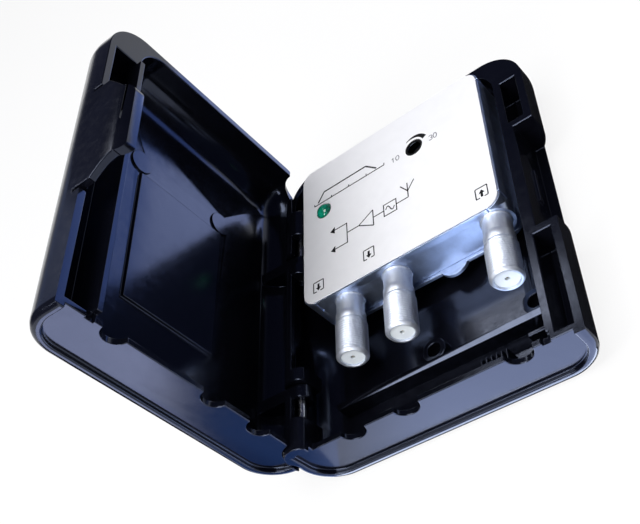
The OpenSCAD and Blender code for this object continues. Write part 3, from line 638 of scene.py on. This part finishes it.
class AMP_OT_front(bpy.types.Operator):
    """Finish the white front plate and print its dial, pass band, signal path and port marks"""

    bl_idname = "amp.front"
    bl_label = "Front plate"

    def execute(self, context):
        looks = context.scene.amp_module
        low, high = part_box("front_label")
        gain_x, gain_y = (c / MM for c in centre("gain_trimmer_rotor")[:2])
        ports = [centre(name + "_body")[0] / MM for name in PORTS]
        y0, top = low[1] / MM, high[2] / MM
        # The front plate turns black inside the gain hole: painted shade down the hole.
        dress_node("front_label", dull_plastic("front_paint", looks.front, 0.38, 700, 0.012, gain_hole()))
        ink = flat_ink("dark_ink", looks.ink)
        pale = flat_ink("grey_ink", looks.pale_ink)
        dark = self.dial(gain_x, gain_y) + self.pass_band(-31, 32.4) + self.signal_path(-26, 13)
        grey = []
        for figures, x in (("10", gain_x - 8.4), ("30", gain_x + 5.6)):
            for k, figure in enumerate(figures):
                grey += digit(figure, x + 1.6 * k, gain_y - 1.2, 2.0, 0.3)
        for x, y, turn in ((ports[0] - 6.9, y0 + 3.5, -90), (ports[1] - 5.1, y0 + 5.2, -90),
                           (ports[2] + 0.2, y0 + 4.4, 90)):
            dark += self.port_mark(x, y, turn)
        for name, bands, colour in (("front_print_dark", dark, ink), ("front_print_grey", grey, pale)):
            printed(name, bands, top - 0.01, (high[2] + looks.ink_height) / MM, colour)
        for name in ("front_label", "front_print_dark", "front_print_grey"):
            bpy.data.objects[name].visible_glossy = False
        return {"FINISHED"}

    def port_mark(self, x, y, turn):
        """Box open at its lower side, with an arrow down or up in it. x, y is the middle of the lower side."""
        sides = [(x - 0.7, y), (x - 1.9, y), (x - 1.9, y + 3.8),
                 (x + 1.9, y + 3.8), (x + 1.9, y), (x + 0.7, y)]
        return ([stroke(sides[k:k + 2], 0.36) for k in range(5)]
                + arrow(x, y + (2.9 if turn < 0 else 0.2), 2.7, turn, 0.75, 1.3))

    def dial(self, x, y):
        """Dark ring round the gain hole and a sweep arrow that thickens clockwise."""
        return [stroke(arc(x, y, 2.76, 2.76, 0, 360, 49), 0.7),
                stroke(arc(x, y, 4.5, 4.5, 124, 24, 33), 0.12 + 1.5 * np.linspace(0, 1, 33) ** 0.75)]

    def pass_band(self, x, y):
        """Plain curve of a pass band over its axis."""
        curve = [(x + 1.5, y + 0.7), (x + 4, y + 4.3), (x + 21, y + 4.3), (x + 25, y + 0.7)]
        return ([stroke(curve[k:k + 2], 0.55) for k in range(3)] + [stroke([(x, y), (x + 28, y)], 0.4)]
                + [stroke([(x + t, y), (x + t, y + 0.9)], 0.3) for t in (0, 7, 14, 21, 28)])

    def signal_path(self, x, y):
        """Block drawing from the aerial on the right, through filter and amplifier, to two arrows on the left."""
        w = 0.36
        lines = box_lines(x + 21.5, y - 2.3, x + 26.1, y + 2.3, w)
        lines.append(stroke(np.stack([np.linspace(x + 22.2, x + 25.4, 25),
                                      y + 1.1 * np.sin(np.linspace(0, 2 * np.pi, 25))], -1), w))
        wedge = [(x + 17.5, y + 3.2), (x + 17.5, y - 3.2), (x + 12, y), (x + 17.5, y + 3.2)]
        lines += [stroke(wedge[k:k + 2], w) for k in range(3)]
        lines += [stroke([(x + a, y), (x + b, y)], w) for a, b in ((17.5, 21.5), (26.1, 30.5), (7.5, 12))]
        aerial = [(x + 30.5, y), (x + 30.5, y + 6)]
        lines += [stroke(aerial, w), stroke([(x + 28, y + 6), (x + 30.5, y + 2.6)], w),
                  stroke([(x + 33, y + 6), (x + 30.5, y + 2.6)], w)]
        lines.append(stroke([(x + 7.5, y - 4.2), (x + 7.5, y + 4.2)], w))
        for side in (-4, 4):
            lines += arrow(x + 7.5, y + side, 6.5, 180, w, 1.8)
        return lines


class AMP_OT_ports(bpy.types.Operator):
    """Turn the three port bodies with real screw threads, and finish their faces and contacts"""

    bl_idname = "amp.ports"
    bl_label = "Ports"

    def execute(self, context):
        looks = context.scene.amp_ports
        plating = cast_metal("bright_plating", looks.plating, 0.46, 0.56, (3, 1, 3), skin=0.03)
        face = dull_plastic("port_face", (0.88, 0.94, 1.0), 0.4, mottle=0.03)
        brass = cast_metal("contact_brass", (0.58, 0.36, 0.07), 0.25, 0.4)
        for name in PORTS:
            dress(self.body(name, looks), plating)
            dress_node(name + "_insulator", face)
            dress_node(name + "_contact", brass)
        return {"FINISHED"}

    def body(self, name, looks):
        """Closed profile turned about the port's axis. On the threaded stretch the radius drops by the thread
        depth times a rounded triangle wave of (distance / pitch - turn / 360), faded in at both ends."""
        low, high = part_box(name + "_body")
        cx, _, cz = centre(name + "_body")
        tip, back = low[1], high[1]
        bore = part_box(name + "_insulator")[1][0] - cx + 0.05 * MM
        crest = high[0] - cx
        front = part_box("amp_housing")[0][1]
        shank, ring_y, thread_y = crest - 0.2625 * MM, front - 5.6 * MM, front - 9.3 * MM
        rows = [(bore, tip + 0.15 * MM), (bore + 0.15 * MM, tip), (crest - 0.75 * MM, tip),
                (crest - 0.55 * MM, tip + 0.12 * MM), (crest - 0.1 * MM, tip + 0.62 * MM)]
        first = len(rows)
        span = np.arange(tip + 0.75 * MM, thread_y - 0.1 * MM, looks.pitch / 11)
        rows += [(crest, y) for y in span]
        last = len(rows)
        rows += [(crest - 0.05 * MM, thread_y), (shank - 0.4 * MM, thread_y + 0.12 * MM),
                 (shank - 0.4 * MM, thread_y + 0.7 * MM), (shank - 0.1 * MM, thread_y + 0.8 * MM),
                 (shank, thread_y + 0.95 * MM), (shank, ring_y - 0.25 * MM), (shank - 0.08 * MM, ring_y - 0.06 * MM),
                 (shank - looks.neck, ring_y), (shank - looks.neck, front - 0.4 * MM), (shank, front - 0.05 * MM),
                 (shank, back), (bore, back)]
        prof = np.array(rows)
        count = 96
        turn = np.linspace(0, 2 * np.pi, count, endpoint=False)
        radius = np.repeat(prof[:, :1], count, 1)
        y = np.repeat(prof[:, 1:], count, 1)
        phase = (y[first:last] - tip) / looks.pitch - turn[None, :] / (2 * np.pi)
        wave = np.abs(2 * (phase % 1) - 1)
        wave = np.clip(1.25 * wave - 0.1, 0, 1)
        along = np.linspace(0, 1, last - first)[:, None]
        fade = np.clip(np.minimum(along, 1 - along) * 14, 0, 1)
        radius[first:last] -= looks.depth * wave * fade
        grid = np.stack([cx + radius * np.cos(turn), y, cz + radius * np.sin(turn)], -1)
        obj = mesh_object(name + "_turned", grid.reshape(-1, 3), [ring_faces(len(prof), count, True)], "base")
        smooth_by_angle(obj.data, 40)
        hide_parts(name + "_body")
        return obj


class AMP_OT_controls(bpy.types.Operator):
    """Finish the lamp and the gain control"""

    bl_idname = "amp.controls"
    bl_label = "Lamp and gain"

    def execute(self, context):
        looks = context.scene.amp_module
        dress(self.dome(), lamp_lens("lamp_lens", looks.lamp))
        # Near-black trimmer body, so the gain hole reads dark: painted shade down the hole.
        dress_node("gain_trimmer_body", dull_plastic("trimmer_blue", (0.003, 0.006, 0.02), 0.5))
        dress_node("gain_trimmer_rotor", dull_plastic("rotor_dark", (0.006, 0.005, 0.005), 0.5))
        return {"FINISHED"}

    def dome(self):
        """Lens turned about the lamp's axis: a straight stem, a thin flange on the plate and a dome whose height
        falls with the cosine of the way out."""
        low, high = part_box("power_lamp")
        cx, cy, _ = centre("power_lamp")
        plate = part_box("front_label")[1][2]
        stem, flange, rise = (high[0] - low[0]) / 2 - 0.02 * MM, 2.6 * MM, 1.35 * MM
        t = np.radians(np.linspace(0, 88, 15))
        rows = [(1e-5 * MM, low[2]), (stem, low[2]), (stem, plate), (flange, plate), (flange, plate + 0.22 * MM)]
        prof = np.array(rows + list(zip((flange - 0.12 * MM) * np.cos(t), plate + 0.26 * MM + rise * np.sin(t))))
        count = 48
        turn = np.linspace(0, 2 * np.pi, count, endpoint=False)
        grid = np.stack([cx + prof[:, :1] * np.cos(turn), cy + prof[:, :1] * np.sin(turn),
                         np.repeat(prof[:, 1:], count, 1)], -1)
        caps = [np.arange(count)[None, ::-1], (len(prof) - 1) * count + np.arange(count)[None, :]]
        obj = mesh_object("lamp_dome", grid.reshape(-1, 3), [ring_faces(len(prof), count, False), *caps], "base")
        smooth_by_angle(obj.data, 40)
        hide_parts("power_lamp")
        return obj


class AMP_OT_fixings(bpy.types.Operator):
    """Finish the hinge pins and the screws"""

    bl_idname = "amp.fixings"
    bl_label = "Pins and screws"

    def execute(self, context):
        steel = cast_metal("pin_steel", (0.62, 0.63, 0.66), 0.18, 0.3, (4, 1, 4))
        screw = cast_metal("screw_steel", (0.5, 0.51, 0.53), 0.25, 0.4)
        dress_node("hinge_pin_near", steel)
        dress_node("hinge_pin_far", steel)
        dress_node("module_screws", screw)
        return {"FINISHED"}


class AMP_OT_board(bpy.types.Operator):
    """Finish the circuit board and the pieces on it"""

    bl_idname = "amp.board"
    bl_label = "Circuit board"

    def execute(self, context):
        dress_node("circuit_board", board_lacquer("board_lacquer", (0.03, 0.15, 0.06)))
        tin = cast_metal("tinned_sheet", (0.56, 0.59, 0.64), 0.25, 0.45)
        for node in ("filter_can", "stage_shield"):
            dress_node(node, tin)
        chip = dull_plastic("chip_black", (0.02, 0.02, 0.025), 0.5)
        for node in ("amplifier_chip", "voltage_regulator", "chip_resistors"):
            dress_node(node, chip)
        ferrite = dull_plastic("ferrite_grey", (0.05, 0.05, 0.055), 0.6)
        for node in ("splitter_core", "supply_choke"):
            dress_node(node, ferrite)
        dress_node("smoothing_capacitor", cast_metal("capacitor_can", (0.5, 0.52, 0.56), 0.25, 0.4))
        dress_node("chip_capacitors", dull_plastic("capacitor_tan", (0.43, 0.26, 0.12), 0.5))
        return {"FINISHED"}


class AMP_OT_stage(bpy.types.Operator):
    """Lay the floor, hang the lamps and set the camera"""

    bl_idname = "amp.stage"
    bl_label = "Stage"

    def execute(self, context):
        looks = context.scene.amp_stage
        scene = context.scene
        scene.view_settings.view_transform = "Standard"
        self.floor(looks)
        self.flags()
        self.world(scene, looks)
        self.lamps(looks)
        self.camera(scene, looks)
        return {"FINISHED"}

    def lamps(self, looks):
        """Lamps over the set, and glowing cards that the gloss-black faces mirror."""
        white, cool = (1, 1, 1), looks.cool
        self.lamp("top_lamp", (0, -0.1, 0.9), (0, 0, 0), (0.7, 0.7), 5.3, white)
        self.lamp("front_lamp", (-0.1, -0.85, 0.28), (0, 0, 0.03), (0.3, 0.25), 17.0, white)
        # Long lamps turned to the line of the cross rib, one before it and one behind
        self.lamp("rib_lamp", (-0.32, -0.375, 0.65), (-0.32, -0.037, 0.0085), (0.38, 0.16), 10.0, white)
        self.lamp("strip_lamp", (-0.237, 0.3, 0.4), (-0.237, -0.037, 0.0085), (0.28, 0.035), 6.0, white)
        # Dim card left of the set, behind the lid
        self.lamp("left_card", (-0.75, 0.55, 0.45), (-0.057, -0.04, 0.1), (0.35, 0.35), 0.25, cool)
        # Card in the tray, turned to the near face of the housing
        self.lamp("tray_card", (0.012, -0.02, 0.006), (0.022, 0.0, 0.031), (0.05, 0.016), 1.0,
                  (0.54, 0.67, 0.95), (-0.007, 0.031), 2.0)
        # Cards on the floor, facing up: before the lid's end, at its foot, before the tray's end, at the tray's
        # edge, and behind the tray
        for name, place, size, glow, colour, fade in (
                ("lid_card", (-0.18, -0.165, 0.001), (0.26, 0.2), 3.3, (0.59, 0.65, 0.97), (-0.088, -0.135)),
                ("foot_card", (-0.08, -0.095, 0.0012), (0.08, 0.085), 0.8, (0.08, 0.3, 1.0), (-0.115, -0.085)),
                ("base_card", (0.0, -0.068, 0.001), (0.14, 0.022), 3.2, cool, (-0.06, 0.0)),
                ("line_card", (0.0, -0.0564, 0.0003), (0.09, 0.0016), 9.0, (0.75, 0.83, 1.0), None),
                ("back_card", (0.06, 0.14, 0.001), (0.2, 0.14), 1.75, (0.25, 0.4, 1.0), None)):
            self.lamp(name, place, (*place[:2], 1), size, glow, colour, fade)

    def flags(self):
        """Black cloths on the floor beside the tray, at its near edge, before the lid's end, left of the lid and
        under the tray, seen in reflections. The strip at the near edge is painted shadow seen in reflections, and
        the sheet under the tray is painted shade that the camera also sees through the tray's holes. Each is a grid,
        its corner plus shares of two sides, with a slow ripple."""
        cloth = dull_plastic("flag_cloth", (0.004, 0.004, 0.006), 0.8)
        u, v = np.meshgrid(np.linspace(0, 1, 9), np.linspace(0, 1, 9), indexing="ij")
        ripple = 0.00003 * np.sin(9 * u) * np.sin(7 * v)
        for name, corner, one, two in (
                ("side_flag", (0.034, -0.05, 0.0001), (0.206, 0), (0, 0.25)),
                # Painted contact shadow at the tray's near edge, seen only in reflections.
                ("edge_flag", (-0.045, -0.0566, 0.0001), (0.091, 0), (0, 0.0026)),
                ("foot_flag", (-0.0405, -0.056, 0.0005), (-0.085, -0.124), (-0.03, 0)),
                ("lid_flag", (-0.066, -0.045, 0.002), (-0.19, -0.164), (-0.08, 0.092)),
                # Painted shade under the tray, seen by the camera through the tray's holes.
                ("under_flag", (-0.02, -0.045, -0.0001), (0.0532, 0), (0, 0.03))):
            obj = sheet_object(name, np.stack([corner[0] + u * one[0] + v * two[0],
                                               corner[1] + u * one[1] + v * two[1], corner[2] + ripple], -1))
            obj.visible_camera = name == "under_flag"
            obj.visible_diffuse = obj.visible_shadow = obj.visible_transmission = False
            obj.data.materials.append(cloth)

    def lamp(self, name, place, aim, size, glow, colour, fade=None, spread=math.pi):
        """Rectangular lamp of a given glow per area, faded along x between two places where they are given."""
        light = bpy.data.lights.new(name, "AREA")
        light.shape = "RECTANGLE"
        light.size, light.size_y = size
        light.energy = glow * math.pi * size[0] * size[1]
        light.color = colour
        light.spread = spread
        if fade:
            light.use_nodes = True
            tree = light.node_tree
            spot = tree.nodes.new("ShaderNodeNewGeometry")
            parts = tree.nodes.new("ShaderNodeSeparateXYZ")
            span = tree.nodes.new("ShaderNodeMapRange")
            span.interpolation_type = "SMOOTHSTEP"
            span.inputs["From Min"].default_value, span.inputs["From Max"].default_value = fade
            tree.links.new(spot.outputs["Position"], parts.inputs["Vector"])
            tree.links.new(parts.outputs["X"], span.inputs["Value"])
            tree.links.new(span.outputs["Result"], tree.nodes["Emission"].inputs["Strength"])
        obj = bpy.data.objects.new(name, light)
        obj.location = place
        obj.rotation_euler = (Vector(aim) - Vector(place)).to_track_quat("-Z", "Y").to_euler()
        obj.visible_camera = False
        bpy.context.scene.collection.objects.link(obj)

    def floor(self, looks):
        """Flat square just under the tray's back. Most of it glows white for the camera and in reflections, and
        the rest keeps the shadow."""
        level = -0.0002
        x, y = np.meshgrid(np.linspace(-3, 3, 5), np.linspace(-3, 3, 5), indexing="ij")
        obj = sheet_object("floor", np.stack([x, y, np.full_like(x, level)], -1))
        f = Finish("pale_floor")
        f.set(Base_Color=f.ramp(f.noise(30), tint(looks.floor, 0.995), looks.floor), Roughness=0.6)
        path = f.add("ShaderNodeLightPath")
        seen = path.outputs["Is Camera Ray"]
        for kind in ("Is Glossy Ray", "Is Transmission Ray"):
            most = f.add("ShaderNodeMath")
            most.operation = "MAXIMUM"
            f.put(most.inputs[0], seen)
            f.put(most.inputs[1], path.outputs[kind])
            seen = most.outputs[0]
        share = f.add("ShaderNodeMath")
        share.operation = "MULTIPLY"
        f.put(share.inputs[0], seen)
        share.inputs[1].default_value = looks.glow
        glow = f.add("ShaderNodeEmission", Color=(1, 1, 1, 1), Strength=1.0)
        mix = f.add("ShaderNodeMixShader", Fac=share.outputs[0])
        f.put(mix.inputs[1], f.shader.outputs[0])
        f.put(mix.inputs[2], glow.outputs[0])
        f.put(f.tree.nodes["Material Output"].inputs["Surface"], mix.outputs[0])
        obj.data.materials.append(f.material)

    def world(self, scene, looks):
        """Dark room with a low white wall, by the height of the direction. It is white where the camera looks
        past the floor."""
        world = bpy.data.worlds.new("studio")
        scene.world = world
        world.use_nodes = True
        tree = world.node_tree
        white = tree.nodes["Background"]
        white.inputs["Color"].default_value = (1, 1, 1, 1)
        dark = tree.nodes.new("ShaderNodeBackground")
        dark.inputs["Color"].default_value = (*looks.walls, 1)
        way = tree.nodes.new("ShaderNodeTexCoord")
        parts = tree.nodes.new("ShaderNodeSeparateXYZ")
        tree.links.new(way.outputs["Generated"], parts.inputs["Vector"])
        span = tree.nodes.new("ShaderNodeMapRange")
        for key, number in (("From Min", 0.02), ("From Max", 0.38), ("To Min", 1.0), ("To Max", 0.0)):
            span.inputs[key].default_value = number
        tree.links.new(parts.outputs["Z"], span.inputs["Value"])
        fall = tree.nodes.new("ShaderNodeMath")
        fall.operation = "POWER"
        fall.inputs[1].default_value = 4.0
        tree.links.new(span.outputs["Result"], fall.inputs[0])
        most = tree.nodes.new("ShaderNodeMath")
        most.operation = "MAXIMUM"
        tree.links.new(fall.outputs[0], most.inputs[0])
        tree.links.new(tree.nodes.new("ShaderNodeLightPath").outputs["Is Camera Ray"], most.inputs[1])
        mix = tree.nodes.new("ShaderNodeMixShader")
        tree.links.new(most.outputs[0], mix.inputs[0])
        tree.links.new(dark.outputs[0], mix.inputs[1])
        tree.links.new(white.outputs[0], mix.inputs[2])
        tree.links.new(mix.outputs[0], tree.nodes["World Output"].inputs["Surface"])

    def camera(self, scene, looks):
        """Camera from a fit of the photo: columns are its right, up and backward directions."""
        camera = bpy.data.cameras.new("camera")
        camera.lens = looks.lens
        camera.sensor_width = 36
        camera.sensor_fit = "HORIZONTAL"
        camera.clip_start = 0.01
        obj = bpy.data.objects.new("camera", camera)
        right = Vector((0.76721, -0.01591, -0.64120))
        down = Vector((-0.44169, -0.73800, -0.51017))
        ahead = Vector((-0.46509, 0.67461, -0.57323))
        turn = Matrix((right, -down, -ahead)).transposed().to_4x4()
        obj.matrix_world = Matrix.Translation((0.11106, -0.19625, 0.19359)) @ turn
        scene.collection.objects.link(obj)
        scene.camera = obj


class AMP_PT_panel(bpy.types.Panel):
    """Lists the pieces and their looks in the sidebar"""

    bl_idname = "AMP_PT_panel"
    bl_label = "Aerial amplifier"
    bl_space_type = "VIEW_3D"
    bl_region_type = "UI"
    bl_category = "Amplifier"

    def draw(self, context):
        layout = self.layout
        for group in (context.scene.amp_case, context.scene.amp_module, context.scene.amp_ports,
                      context.scene.amp_stage):
            box = layout.box()
            for key in group.__annotations__:
                box.prop(group, key)
        for cls in STEPS:
            layout.operator(cls.bl_idname)


GROUPS = {"amp_case": CaseLooks, "amp_module": ModuleLooks, "amp_ports": PortLooks, "amp_stage": StageLooks}
STEPS = (AMP_OT_case, AMP_OT_module, AMP_OT_front, AMP_OT_ports, AMP_OT_controls, AMP_OT_fixings,
         AMP_OT_board, AMP_OT_stage)


def register():
    for cls in (*GROUPS.values(), *STEPS, AMP_PT_panel):
        bpy.utils.register_class(cls)
    for key, cls in GROUPS.items():
        setattr(bpy.types.Scene, key, bpy.props.PointerProperty(type=cls))


def unregister():
    for key in GROUPS:
        delattr(bpy.types.Scene, key)
    for cls in reversed((*GROUPS.values(), *STEPS, AMP_PT_panel)):
        bpy.utils.unregister_class(cls)


def main():
    """Registers the add-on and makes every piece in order."""
    register()
    for step in STEPS:
        getattr(bpy.ops.amp, step.bl_idname.removeprefix("amp."))()


if __name__ == "__main__":
    main()
